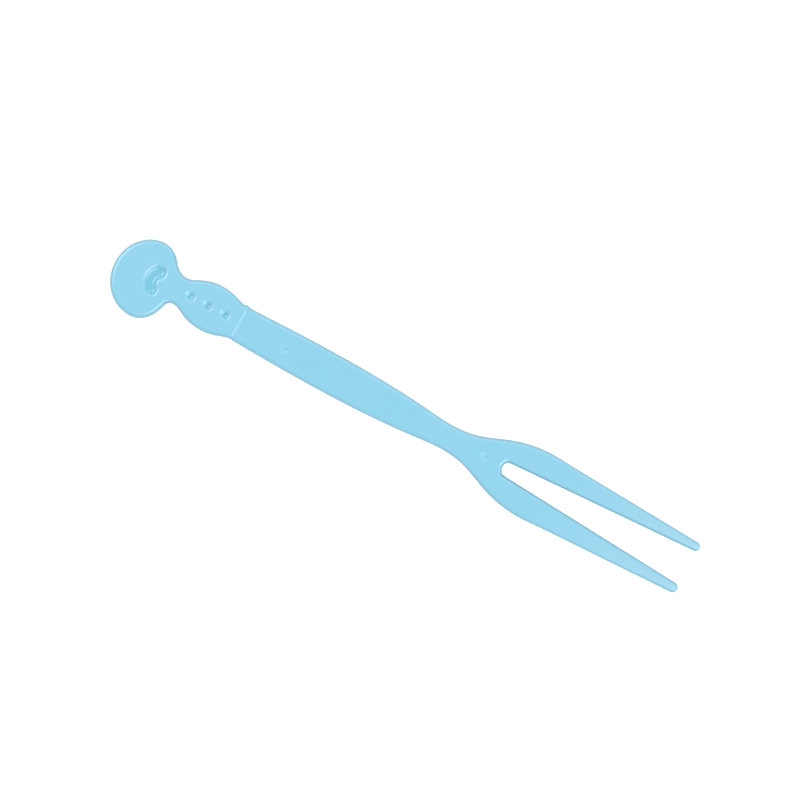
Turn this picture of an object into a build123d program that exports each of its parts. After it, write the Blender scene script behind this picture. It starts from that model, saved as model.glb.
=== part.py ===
from build123d import *
import os

# Two-tine picking fork, moulded in one piece of pale blue plastic.
# An oval head and a narrower torso, with a kidney-shaped recess and a row of dimples in
# their front face, end a flat handle. The handle narrows to a waist and then opens into a yoke
# that carries two tapering tines. The head and torso were shaped by an insert in the
# mould, which left a fine raised bead across the front face and a nub of flash beside it.
#
# The moulding is divided at the neck, the insert line, the waist and the roots of the
# tines into regions that meet face to face. These faces aren't joints of the real object.
#
# Frame: +X along the fork to the tine tips, +Y across it, +Z out of the front face.
# The origin is on the flat back face, on the centreline, half way along the fork.
# All sizes are in millimetres and all angles in degrees.

# Overall sizes
length = 120.0
thickness = 2.0
tip_thickness = 1.25
front_round = 0.85
back_round = 0.12

# Stations along X
head_end_x = -length / 2
neck_x = -47.0
shoulder_x = -40.6
insert_x = -34.2
belly_x = -18.0
waist_x = 8.6
slot_x = 21.4
root_x = 23.0
hip_x = 27.5
straight_x = 33.0
tip_x = length / 2

# Half widths at those stations
neck_half = 2.7
shoulder_half = 4.57
torso_end_half = 3.31
handle_end_half = 3.43
belly_half = 3.75
waist_half = 2.45
slot_half = 1.23
hip_half = 6.64
straight_half = 6.39
tip_outer_half = 5.28
tip_inner_half = 3.36

# Head: an oval a little off the centreline, flatter on the side towards the neck
head_far_radius = 6.8
head_near_radius = 5.2
head_side_radius = 7.47
head_tilt = 5.1
head_x = head_end_x + head_far_radius
head_y = -0.99
neck_round_low = 1.4
neck_round_high = 3.2

# Kidney-shaped recess in the head: a bowed far side, and a notch in the straight near side
recess_near_x = -50.45
recess_y = -0.45
recess_length = 3.55
recess_half_width = 3.0
recess_bow_radius = 3.8
recess_corner_round = 0.95
recess_depth = 0.45
recess_draft = 57.0
recess_rim_round = 0.8
recess_floor_round = 0.8
notch_depth = 0.8
notch_radius = 0.9
notch_y = -0.6
notch_corner_round = 0.95

# Row of dimples in the torso, each a shallow part of a ball
dimple_x = -41.08
dimple_y = 0.05
dimple_spacing = 3.6
dimple_count = 3
dimple_radius = 0.93
dimple_depth = 0.4
dimple_rim_round = 0.9
ball_radius = (dimple_radius**2 + dimple_depth**2) / (2 * dimple_depth)
ball_z = thickness - dimple_depth + ball_radius

# Bead and nub of flash where the mould insert ended
bead_x = -34.45
bead_width = 0.4
bead_height = 0.055
rod_radius = (bead_width**2 / 4 + bead_height**2) / (2 * bead_height)
rod_sink = rod_radius - bead_height
rod_bend_radius = front_round - rod_sink
nub_x = -34.67
nub_y = 3.2
nub_x_radius = 0.55
nub_y_radius = 0.5
nub_height = 1.9
nub_round = 0.2

# Marks of the ejector pins in the handle and the yoke: a shallow dish with sloping sides
# and an off-centre pit
dish_radius = 0.85
dish_depth = 0.04
dish_draft = 77.0
handle_mark_x = -24.87
handle_mark_y = -0.03
yoke_mark_x = 16.95
yoke_mark_y = 0.15
pit_offset_x = 0.44
pit_offset_y = 0.17
pit_radius = 0.32
pit_depth = 0.2

# Slot between the tines, a little off the centreline: straight edges and a skewed end
tip_round_x = tip_x - 0.9
tip_crown_y = 4.32
slot_y = 0.1
slot_end_x = 20.81
slot_end_y = 0.25
slot_side_x = 21.0
slot_side_y = -0.5
slot_high_round = 0.5
slot_low_round = 0.12

# Taper of the tines seen from the side, and room to cut it from a thicker blank
taper_x = 32.0
taper_blend_radius = 600.0
side_margin = 1.0
half_reach = 10.0

os.makedirs("parts", exist_ok=True)

# Blank of the head and torso
with BuildPart() as figure_blank:
    with BuildSketch():
        with BuildLine():
            neck_edge = Line((head_x, neck_half), (neck_x, neck_half))
            torso_edge = Spline(
                neck_edge @ 1,
                (-44.5, 3.62),
                (shoulder_x, shoulder_half),
                (-37.5, 4.15),
                (insert_x, torso_end_half),
                tangents=[(1, 0.05), (1, 0)],
            )
            mirror(about=Plane.XZ)
            Line(torso_edge @ 1, (insert_x, -torso_end_half))
            Line((head_x, neck_half), (head_x, -neck_half))
        make_face()
        with BuildLine():
            EllipticalCenterArc(
                (head_x, head_y), head_far_radius, head_side_radius, 90, arc_size=180, rotation=head_tilt
            )
            EllipticalCenterArc(
                (head_x, head_y), head_near_radius, head_side_radius, -90, arc_size=180, rotation=head_tilt
            )
        make_face()
    extrude(amount=thickness)
    for side, radius in ((0, neck_round_low), (-1, neck_round_high)):
        corners = figure_blank.edges().filter_by(Axis.Z)
        corners = corners.filter_by_position(Axis.X, head_x + 1, neck_x - 0.1)
        fillet(corners.sort_by(Axis.Y)[side], radius)
    for level, radius in ((-1, front_round), (0, back_round)):
        outline = figure_blank.edges().group_by(Axis.Z)[level]
        fillet(outline.filter_by_position(Axis.X, head_end_x - 1, insert_x - 0.01), radius)

# Blank of the handle, yoke and tines
with BuildPart() as fork_blank:
    with BuildSketch():
        with BuildLine():
            side_edge = Spline(
                (insert_x, handle_end_half),
                (belly_x, belly_half),
                (-5.0, 3.49),
                (4.0, 2.82),
                (waist_x, waist_half),
                (14.0, 3.03),
                (20.0, 5.29),
                (hip_x, hip_half),
                (straight_x, straight_half),
                tangents=[(1, 0.03), (1, -0.045)],
            )
            tine_edge = Line(side_edge @ 1, (tip_round_x, tip_outer_half))
            mirror(about=Plane.XZ)
            left_tip = ThreePointArc(
                tine_edge @ 1, (tip_x, tip_crown_y), (tip_round_x, slot_y + tip_inner_half)
            )
            right_tip = ThreePointArc(
                (tip_round_x, -tip_outer_half),
                (tip_x, -tip_crown_y),
                (tip_round_x, slot_y - tip_inner_half),
            )
            slot_high = Line(left_tip @ 1, (slot_x, slot_y + slot_half))
            slot_low = Line(right_tip @ 1, (slot_x, slot_y - slot_half))
            slot_end = ThreePointArc(
                slot_high @ 1, (slot_end_x, slot_end_y), (slot_side_x, slot_side_y)
            )
            Line(slot_end @ 1, slot_low @ 1)
            Line(side_edge @ 0, (insert_x, -handle_end_half))
        make_face()
    extrude(amount=thickness + side_margin)
    for side, radius in ((0, slot_low_round), (-1, slot_high_round)):
        corners = fork_blank.edges().filter_by(Axis.Z)
        corners = corners.filter_by_position(Axis.X, slot_x - 0.1, slot_x + 0.3)
        fillet(corners.sort_by(Axis.Y)[side], radius)
    with BuildSketch(Plane.XZ) as side_view:
        with BuildLine():
            Polyline(
                (insert_x, 0),
                (insert_x, thickness),
                (taper_x, thickness),
                (tip_x + side_margin, tip_thickness),
                (tip_x + side_margin, 0),
                close=True,
            )
        make_face()
        taper_corner = side_view.vertices().sort_by_distance((taper_x, thickness))[0]
        fillet(taper_corner, taper_blend_radius)
    extrude(amount=half_reach, both=True, mode=Mode.INTERSECT)
    front = fork_blank.faces().filter_by(lambda face: face.normal_at().Z > 0.9)
    walls = fork_blank.faces().filter_by(lambda face: abs(face.normal_at().Z) < 0.1)
    wall_edges = walls.edges().filter_by_position(Axis.X, insert_x + 0.01, tip_x + 1)
    fillet([edge for edge in front.edges() if edge in wall_edges], front_round)
    back = fork_blank.faces().sort_by(Axis.Z)[0]
    fillet(back.edges().filter_by_position(Axis.X, insert_x + 0.01, tip_x + 1), back_round)

# Head: the blank as far as the neck, with the kidney-shaped recess
with BuildPart() as head:
    add(figure_blank.part)
    split(bisect_by=Plane.YZ.offset(neck_x), keep=Keep.BOTTOM)
    with BuildSketch(Plane.XY.offset(thickness)) as recess:
        with Locations((recess_near_x - recess_length + recess_bow_radius, recess_y)):
            Circle(recess_bow_radius)
        with Locations((recess_near_x, recess_y)):
            Rectangle(
                2 * recess_length,
                2 * recess_half_width,
                align=(Align.MAX, Align.CENTER),
                mode=Mode.INTERSECT,
            )
        fillet(recess.vertices(), recess_corner_round)
        with Locations((recess_near_x - notch_depth + notch_radius, notch_y)):
            Circle(notch_radius, mode=Mode.SUBTRACT)
        notch_corners = recess.vertices().sort_by_distance((recess_near_x, notch_y))[0:2]
        fillet(notch_corners, notch_corner_round)
    extrude(amount=-recess_depth, taper=recess_draft, mode=Mode.SUBTRACT)
    recess_rim = head.faces().sort_by(Axis.Z)[-1].inner_wires()[0]
    fillet(recess_rim.edges(), recess_rim_round)
    recess_floor = head.faces().filter_by(Plane.XY).sort_by(Axis.Z)[-2]
    fillet(recess_floor.edges(), recess_floor_round)
head.part.label = "head"
export_step(head.part, "parts/head.step")

# Raised bead that the edge of the insert printed round the front of the torso's end
with BuildPart() as bead:
    with BuildLine(Plane.YZ.offset(bead_x)) as rod_path:
        Polyline(
            (torso_end_half - rod_sink, 0),
            (torso_end_half - rod_sink, thickness - rod_sink),
            (rod_sink - torso_end_half, thickness - rod_sink),
            (rod_sink - torso_end_half, 0),
        )
        fillet(rod_path.vertices().group_by(Axis.Z)[-1], rod_bend_radius)
    with BuildSketch(Plane.XY):
        with Locations((bead_x, torso_end_half - rod_sink)):
            Circle(rod_radius)
    sweep(path=rod_path.line)
    split(bisect_by=Plane.YZ.offset(insert_x), keep=Keep.BOTTOM)

# Nub of flash beside the bead, flush with the insert's end
with BuildPart() as nub:
    with BuildSketch():
        with Locations((nub_x, nub_y)):
            Ellipse(nub_x_radius, nub_y_radius)
    extrude(amount=nub_height)
    fillet(nub.edges().group_by(Axis.Z)[-1], nub_round)
    split(bisect_by=Plane.YZ.offset(insert_x), keep=Keep.BOTTOM)

# Torso: the rest of that blank, with its dimples, the bead and the nub of flash
with BuildPart() as torso:
    add(figure_blank.part)
    split(bisect_by=Plane.YZ.offset(neck_x), keep=Keep.TOP)
    with Locations((dimple_x, dimple_y, ball_z)):
        with GridLocations(dimple_spacing, 0, dimple_count, 1):
            Sphere(ball_radius, mode=Mode.SUBTRACT)
    rims = torso.edges().filter_by(GeomType.CIRCLE).filter_by(Plane.XY)
    fillet(rims, dimple_rim_round)
    add(bead.part)
    add(nub.part)
torso.part.label = "torso"
export_step(torso.part, "parts/torso.step")

# Handle: from the insert line to the waist, with its ejector mark
with BuildPart() as handle:
    add(fork_blank.part)
    split(bisect_by=Plane.YZ.offset(waist_x), keep=Keep.BOTTOM)
    with BuildSketch(Plane.XY.offset(thickness)):
        with Locations((handle_mark_x, handle_mark_y)):
            Circle(dish_radius)
    extrude(amount=-dish_depth, taper=dish_draft, mode=Mode.SUBTRACT)
    with Locations((handle_mark_x + pit_offset_x, handle_mark_y + pit_offset_y, thickness)):
        Cone(
            0,
            pit_radius,
            pit_depth,
            align=(Align.CENTER, Align.CENTER, Align.MAX),
            mode=Mode.SUBTRACT,
        )
handle.part.label = "handle"
export_step(handle.part, "parts/handle.step")

# Yoke: from the waist to the roots of the tines, with its ejector mark
with BuildPart() as yoke:
    add(fork_blank.part)
    split(bisect_by=Plane.YZ.offset(waist_x), keep=Keep.TOP)
    split(bisect_by=Plane.YZ.offset(root_x), keep=Keep.BOTTOM)
    with BuildSketch(Plane.XY.offset(thickness)):
        with Locations((yoke_mark_x, yoke_mark_y)):
            Circle(dish_radius)
    extrude(amount=-dish_depth, taper=dish_draft, mode=Mode.SUBTRACT)
    with Locations((yoke_mark_x + pit_offset_x, yoke_mark_y + pit_offset_y, thickness)):
        Cone(
            0,
            pit_radius,
            pit_depth,
            align=(Align.CENTER, Align.CENTER, Align.MAX),
            mode=Mode.SUBTRACT,
        )
yoke.part.label = "yoke"
export_step(yoke.part, "parts/yoke.step")

# Tines: one on each side of the slot
for name, kept_side in (("left_tine", Keep.BOTTOM), ("right_tine", Keep.TOP)):
    with BuildPart() as tine:
        add(fork_blank.part)
        split(bisect_by=Plane.YZ.offset(root_x), keep=Keep.TOP)
        split(bisect_by=Plane.XZ, keep=kept_side)
    tine.part.label = name
    export_step(tine.part, f"parts/{name}.step")
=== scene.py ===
import math
import bpy
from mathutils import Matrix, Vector


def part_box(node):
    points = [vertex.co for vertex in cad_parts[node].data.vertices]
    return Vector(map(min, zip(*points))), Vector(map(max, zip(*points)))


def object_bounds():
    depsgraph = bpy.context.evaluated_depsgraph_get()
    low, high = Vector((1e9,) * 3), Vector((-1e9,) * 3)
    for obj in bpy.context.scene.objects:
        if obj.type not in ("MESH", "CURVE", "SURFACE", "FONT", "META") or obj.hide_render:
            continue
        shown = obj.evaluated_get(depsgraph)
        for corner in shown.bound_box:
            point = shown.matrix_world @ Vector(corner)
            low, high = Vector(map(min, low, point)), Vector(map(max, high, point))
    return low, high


# Looks for the two-tine plastic fork: one pale blue moulding, lying face up on a white table.
# Sizes are in metres unless a name says otherwise. The fork lies along +X with its front
# face up (+Z), and the camera looks straight down on it, turned so that it lies aslant.

MM = 0.001

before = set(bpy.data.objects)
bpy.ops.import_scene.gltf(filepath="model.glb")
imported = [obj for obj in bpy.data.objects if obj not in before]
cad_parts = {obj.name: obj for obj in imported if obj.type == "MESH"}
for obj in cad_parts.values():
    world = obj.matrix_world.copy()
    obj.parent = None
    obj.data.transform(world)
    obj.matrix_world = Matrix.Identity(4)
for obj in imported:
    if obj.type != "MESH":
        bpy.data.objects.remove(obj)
cad_low, cad_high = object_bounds()
fork_length = cad_high.x - cad_low.x
front_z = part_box("handle")[1].z

# View
TURN = math.radians(28.72)          # how far the camera is turned about the line of sight
VIEW_WIDTH = 1.226 * fork_length    # width of the picture at the front face
VIEW_CENTRE = Vector((-1.70 * MM, 1.86 * MM, 0.0))
LENS_MM = 100.0
SENSOR_MM = 36.0
CLIP_START = 10.0 * MM

# Table
TABLE_HALF = 3.0
TABLE_GAP = 0.02 * MM               # keeps the table clear of the fork's back face
TABLE_WHITE = 0.90
TABLE_GLOW = 0.30
TABLE_ROUGHNESS = 0.9
TABLE_SPECULAR = 0.1

# Light
SOFTBOX_DISTANCE = 1.6
HORIZON_LIGHT = 0.06
OVERHEAD_LIGHT = 0.32
OVERHEAD_FROM = 0.6                 # sine of the elevation from which the overhead light is full

# Tints of the plastic, linear: its own blue and a random drift of it, then painted light and painted
# shade
PLASTIC = (0.183, 0.441, 0.566, 1.0)
PLASTIC_WARM = (0.191, 0.439, 0.569, 1.0)
# painted light let through the thin tines
PLASTIC_TIP_LIGHT = (0.240, 0.446, 0.563, 1.0)
# painted shade in the recess and the ejector pits, then in the dimples
PLASTIC_HOLLOW_SHADE = (0.129, 0.387, 0.500, 1.0)
PLASTIC_DIMPLE_SHADE = (0.094, 0.339, 0.422, 1.0)
# painted light on gentle slopes
PLASTIC_SLOPE_LIGHT = (0.206, 0.481, 0.608, 1.0)
# painted shade round the edges and on the side walls
PLASTIC_EDGE_SHADE = (0.170, 0.330, 0.408, 1.0)

# Painted light let through the thin plastic pales the tines from the first place along the fork to
# the second
THIN_ALONG = (30.0 * MM, 60.0 * MM)
THIN_SHARE = 0.8

# Steepness is 0 where the surface is level and 1 where it is upright. A painted tint starts at the
# first value and is full at the second:
# painted light on gentle slopes, painted shade round the edges. The painted edge shade then fades to
# WALL_SHARE on the upright walls.
SLOPE_STEEPNESS = (0.02, 0.18)
EDGE_STEEPNESS = (0.12, 0.42)
WALL_STEEPNESS = (0.50, 0.90)
WALL_SHARE = 0.5

# Unevenness of the plastic: scales of the noises per metre, and how high the bumps stand
DRIFT_SCALE = 260.0
DRIFT_RANGE = (0.38, 0.64)
SHEEN_SCALE = 500.0
SHEEN_RANGE = (0.1, 0.9)
RIPPLE_SCALE = 180.0
RIPPLE_HEIGHT = 0.02 * MM
GRAIN_SCALE = 5200.0
GRAIN_HEIGHT = 0.0004 * MM

# Gloss of the plastic
ROUGHNESS = (0.29, 0.33)
REFRACTIVE_INDEX = 1.59

# Hollows where the material paints shade, at most one entry a node: the recess in the head, the row
# of dimples in the torso, and the pits of the ejector marks in the handle and the yoke. Each lies
# within reach of its middle in plan. Along is 1 where distance along the fork counts too, and 0
# for the row. The painted shade starts at the first depth below the front face and is full at the
# second.
SHADED_HOLLOWS = {
    "head": {"middle": (-52.2 * MM, -0.45 * MM), "reach": 3.6 * MM, "along": 1.0,
             "depths": (0.15 * MM, 0.40 * MM), "tint": PLASTIC_HOLLOW_SHADE},
    "torso": {"middle": (-41.08 * MM, 0.0), "reach": 1.4 * MM, "along": 0.0,
              "depths": (0.15 * MM, 0.40 * MM), "tint": PLASTIC_DIMPLE_SHADE},
    "handle": {"middle": (-24.43 * MM, 0.14 * MM), "reach": 0.3 * MM, "along": 1.0,
               "depths": (0.0, 0.16 * MM), "tint": PLASTIC_HOLLOW_SHADE},
    "yoke": {"middle": (17.39 * MM, 0.32 * MM), "reach": 0.3 * MM, "along": 1.0,
             "depths": (0.0, 0.16 * MM), "tint": PLASTIC_HOLLOW_SHADE},
}

# Middles of the ejector marks, which are more matt than the rest
PIN_MARKS = {"handle": (-24.87 * MM, -0.03 * MM), "yoke": (16.95 * MM, 0.15 * MM)}
PIN_REACH = 0.8 * MM
PIN_ROUGHNESS_ADDED = 0.09

# A patch fades out over this distance in plan, and is gone below the first of these heights and full
# above the second
PATCH_FADE = 0.3 * MM
PATCH_HEIGHTS = (0.6 * front_z, 0.7 * front_z)


def toward(azimuth, elevation):
    """A direction given in degrees: azimuth from +X towards +Y, elevation above the table."""
    flat = math.cos(math.radians(elevation))
    return Vector((
        flat * math.cos(math.radians(azimuth)),
        flat * math.sin(math.radians(azimuth)),
        math.sin(math.radians(elevation)),
    ))


def grey(level):
    return (level, level, level, 1.0)


class Nodes:
    """Adds and joins the nodes of one tree with short calls."""

    def __init__(self, tree):
        self.tree = tree

    def plug(self, node, socket, value):
        """Joins value to the socket if it is another node's output, and sets it otherwise."""
        target = node.inputs[socket]
        if isinstance(value, bpy.types.NodeSocket):
            self.tree.links.new(value, target)
        else:
            target.default_value = value

    def add(self, kind, **inputs):
        """A new node. Its inputs go by their names, with _ for a space."""
        node = self.tree.nodes.new(kind)
        for name, value in inputs.items():
            self.plug(node, name.replace("_", " "), value)
        return node

    def math(self, operation, a, b=0.0):
        node = self.add("ShaderNodeMath")
        node.operation = operation
        self.plug(node, 0, a)
        self.plug(node, 1, b)
        return node.outputs[0]

    def ramp(self, value, start, end, at_start=0.0, at_end=1.0):
        """Smoothly from at_start, where value is start, to at_end, where value is end."""
        node = self.add("ShaderNodeMapRange")
        node.interpolation_type = "SMOOTHSTEP"
        self.plug(node, "Value", value)
        self.plug(node, "From Min", start)
        self.plug(node, "From Max", end)
        self.plug(node, "To Min", at_start)
        self.plug(node, "To Max", at_end)
        return node.outputs["Result"]

    def noise(self, position, scale, detail=1.0, roughness=0.5, distortion=0.0):
        node = self.add("ShaderNodeTexNoise", Vector=position, Scale=scale, Detail=detail,
                        Roughness=roughness, Distortion=distortion)
        return node.outputs["Fac"]

    def mix(self, factor, a, b):
        """Colour a where factor is 0, and b where it is 1."""
        node = self.add("ShaderNodeMix")
        node.data_type = "RGBA"
        self.plug(node, 0, factor)
        self.plug(node, 6, a)
        self.plug(node, 7, b)
        return node.outputs[2]


def front_patch(n, place, middle, reach, along=1.0):
    """1 near the front face within reach of the middle in plan, 0 elsewhere and on the back face."""
    dx = n.math("MULTIPLY", n.math("SUBTRACT", place["X"], middle[0]), along)
    dy = n.math("SUBTRACT", place["Y"], middle[1])
    away = n.math("SQRT", n.math("ADD", n.math("MULTIPLY", dx, dx), n.math("MULTIPLY", dy, dy)))
    in_plan = n.ramp(away, reach + PATCH_FADE, reach)
    near_front = n.ramp(place["Z"], *PATCH_HEIGHTS)
    return n.math("MULTIPLY", in_plan, near_front)


def plastic_colour(n, name, position, place, normal):
    """Blue that drifts a little, with painted light that pales it towards the tips of the tines and
    on gentle slopes, and painted shade that deepens it in the hollows, round the edges and on the
    side walls."""
    drift = n.noise(position, DRIFT_SCALE, detail=3.0, roughness=0.55, distortion=0.6)
    colour = n.mix(n.ramp(drift, *DRIFT_RANGE), PLASTIC, PLASTIC_WARM)
    # painted light let through the thin tines
    colour = n.mix(n.ramp(place["X"], *THIN_ALONG, 0.0, THIN_SHARE), colour, PLASTIC_TIP_LIGHT)

    steepness = n.math("SUBTRACT", 1.0, n.math("ABSOLUTE", normal["Z"]))
    # painted light on gentle slopes
    colour = n.mix(n.ramp(steepness, *SLOPE_STEEPNESS), colour, PLASTIC_SLOPE_LIGHT)
    # painted shade round the edges, fading on the upright walls
    edges = n.ramp(steepness, *EDGE_STEEPNESS)
    walls = n.math("MULTIPLY", edges, n.ramp(steepness, *WALL_STEEPNESS, 1.0, WALL_SHARE))

    # painted shade in the hollows, in place of the edge shade there
    if name in SHADED_HOLLOWS:
        hollow = SHADED_HOLLOWS[name]
        shallow, deep = hollow["depths"]
        patch = front_patch(n, place, hollow["middle"], hollow["reach"], hollow["along"])
        depth = n.ramp(place["Z"], front_z - shallow, front_z - deep)
        colour = n.mix(n.math("MULTIPLY", patch, depth), colour, hollow["tint"])
        walls = n.math("MULTIPLY", walls, n.math("SUBTRACT", 1.0, patch))
    # painted shade round the edges and on the side walls
    return n.mix(walls, colour, PLASTIC_EDGE_SHADE)


def plastic_roughness(n, name, position, place):
    """Semi-gloss, a little uneven, and more matt on the ejector marks."""
    sheen = n.noise(position, SHEEN_SCALE)
    roughness = n.ramp(sheen, *SHEEN_RANGE, *ROUGHNESS)
    if name in PIN_MARKS:
        mark = front_patch(n, place, PIN_MARKS[name], PIN_REACH)
        roughness = n.math("ADD", roughness, n.math("MULTIPLY", mark, PIN_ROUGHNESS_ADDED))
    return roughness


def plastic_bumps(n, position):
    """A faint ripple with a very fine grain on it."""
    ripple = n.add("ShaderNodeBump", Strength=1.0, Distance=RIPPLE_HEIGHT,
                   Height=n.noise(position, RIPPLE_SCALE))
    grain = n.add("ShaderNodeBump", Strength=1.0, Distance=GRAIN_HEIGHT,
                  Height=n.noise(position, GRAIN_SCALE, detail=2.0),
                  Normal=ripple.outputs["Normal"])
    return grain.outputs["Normal"]


def moulded_plastic(name):
    """The plastic of the node with this name."""
    material = bpy.data.materials.new("blue_plastic_" + name)
    material.use_nodes = True
    material.node_tree.nodes.clear()
    n = Nodes(material.node_tree)
    coordinates = n.add("ShaderNodeTexCoord")
    position = coordinates.outputs["Object"]
    place = n.add("ShaderNodeSeparateXYZ", Vector=position).outputs
    normal = n.add("ShaderNodeSeparateXYZ", Vector=coordinates.outputs["Normal"]).outputs
    shader = n.add(
        "ShaderNodeBsdfPrincipled",
        Base_Color=plastic_colour(n, name, position, place, normal),
        Roughness=plastic_roughness(n, name, position, place),
        IOR=REFRACTIVE_INDEX,
        Normal=plastic_bumps(n, position),
    )
    n.add("ShaderNodeOutputMaterial", Surface=shader.outputs["BSDF"])
    return material


def table_material():
    """Matt white that glows a little, which leaves hardly any shadow round the fork."""
    material = bpy.data.materials.new("white_table")
    material.use_nodes = True
    shader = material.node_tree.nodes["Principled BSDF"]
    shader.inputs["Base Color"].default_value = grey(TABLE_WHITE)
    shader.inputs["Emission Color"].default_value = grey(1.0)
    shader.inputs["Emission Strength"].default_value = TABLE_GLOW
    shader.inputs["Roughness"].default_value = TABLE_ROUGHNESS
    shader.inputs["Specular IOR Level"].default_value = TABLE_SPECULAR
    return material


def make_table():
    height = cad_low.z - TABLE_GAP
    sides = [(-1, -1), (1, -1), (1, 1), (-1, 1)]
    corners = [(x * TABLE_HALF, y * TABLE_HALF, height) for x, y in sides]
    mesh = bpy.data.meshes.new("table_top")
    mesh.from_pydata(corners, [], [(0, 1, 2, 3)])
    table = bpy.data.objects.new("table_top", mesh)
    bpy.context.scene.collection.objects.link(table)
    table.data.materials.append(table_material())


def make_room():
    """White light from all round, fainter near the table than overhead."""
    world = bpy.data.worlds.new("room")
    world.use_nodes = True
    n = Nodes(world.node_tree)
    direction = n.add("ShaderNodeTexCoord").outputs["Generated"]
    height = n.add("ShaderNodeSeparateXYZ", Vector=direction).outputs["Z"]
    strength = n.ramp(height, 0.0, OVERHEAD_FROM, HORIZON_LIGHT, OVERHEAD_LIGHT)
    background = world.node_tree.nodes["Background"]
    n.plug(background, "Color", grey(1.0))
    n.plug(background, "Strength", strength)
    bpy.context.scene.world = world


def make_softbox(name, azimuth, elevation, width, height, watts):
    """An area light that faces the fork. Its azimuth and elevation are in degrees."""
    data = bpy.data.lights.new(name, "AREA")
    data.shape = "RECTANGLE"
    data.size = width
    data.size_y = height
    data.energy = watts
    light = bpy.data.objects.new(name, data)
    place = SOFTBOX_DISTANCE * toward(azimuth, elevation)
    light.location = place
    light.rotation_euler = (-place).to_track_quat("-Z", "Y").to_euler()
    bpy.context.scene.collection.objects.link(light)


def make_lights():
    """Softboxes beyond the ends of the fork and on its left, whose narrow reflections line its rims,
    and a wide low one that fills the rims facing the tine tips."""
    make_softbox("tine_end", azimuth=-25.0, elevation=55.0, width=1.0, height=0.40, watts=16.4)
    make_softbox("low_fill", azimuth=10.0, elevation=30.0, width=2.2, height=0.50, watts=6.9)
    make_softbox("head_end", azimuth=176.0, elevation=52.0, width=0.85, height=0.42, watts=15.0)
    make_softbox("left_side", azimuth=105.0, elevation=52.0, width=1.6, height=0.60, watts=7.8)


def make_camera():
    data = bpy.data.cameras.new("camera")
    data.lens = LENS_MM
    data.sensor_width = SENSOR_MM
    data.clip_start = CLIP_START
    camera = bpy.data.objects.new("camera", data)
    distance = VIEW_WIDTH * LENS_MM / SENSOR_MM
    camera.location = VIEW_CENTRE + Vector((0.0, 0.0, front_z + distance))
    camera.rotation_euler = (0.0, 0.0, TURN)
    bpy.context.scene.collection.objects.link(camera)
    bpy.context.scene.camera = camera


for name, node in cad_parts.items():
    node.data.materials.clear()
    node.data.materials.append(moulded_plastic(name))

make_table()
make_room()
make_lights()
make_camera()
bpy.context.scene.view_settings.view_transform = "Standard"
